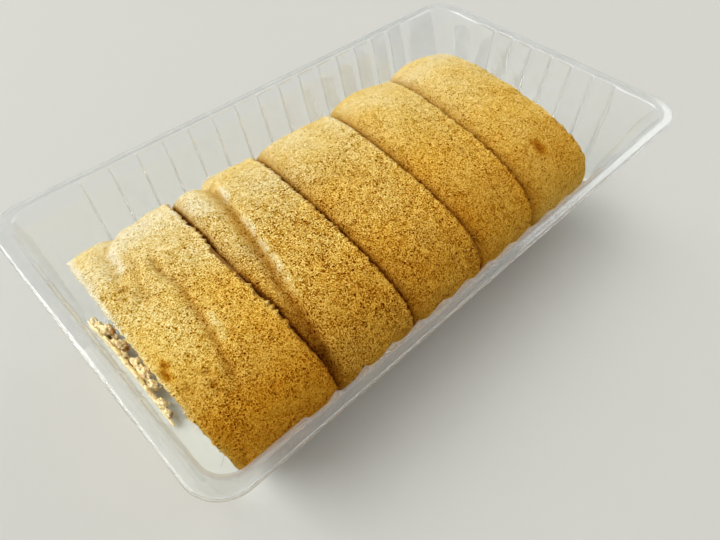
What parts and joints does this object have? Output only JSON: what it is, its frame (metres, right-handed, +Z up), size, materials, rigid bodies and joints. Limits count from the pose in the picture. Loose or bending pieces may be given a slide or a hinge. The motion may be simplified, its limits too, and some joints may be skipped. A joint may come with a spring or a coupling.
{
  "type": "sliced cream roll cake in a tray",
  "caption": "Sliced sponge roll cake with a swirl of cream, its slices leaning against one another in a clear fluted plastic tray.",
  "frame": {"origin": "middle of the tray's footprint, on the surface the tray stands on", "axes": "+X along the tray, from the end that slice 1 faces to the end that slice 5 faces, +Y to the side of the tray where the roll leaves room, +Z up"},
  "size_m": [0.2, 0.113, 0.0476],
  "materials": {
    "clear_plastic": "clear thermoformed sheet, glossy",
    "sponge": "baked sponge skin, golden, finely porous and matt",
    "whipped_cream": "soft whipped cream, smooth, slightly moist"
  },
  "bodies": {
    "root": {"tray": "clear_plastic", "slice_1_sponge": "sponge", "slice_2_sponge": "sponge", "slice_3_sponge": "sponge", "slice_4_sponge": "sponge", "slice_5_sponge": "sponge", "slice_1_cream": "whipped_cream", "slice_2_cream": "whipped_cream", "slice_3_cream": "whipped_cream", "slice_4_cream": "whipped_cream", "slice_5_cream": "whipped_cream", "torn_strip": "sponge"}
  },
  "joints": []
}
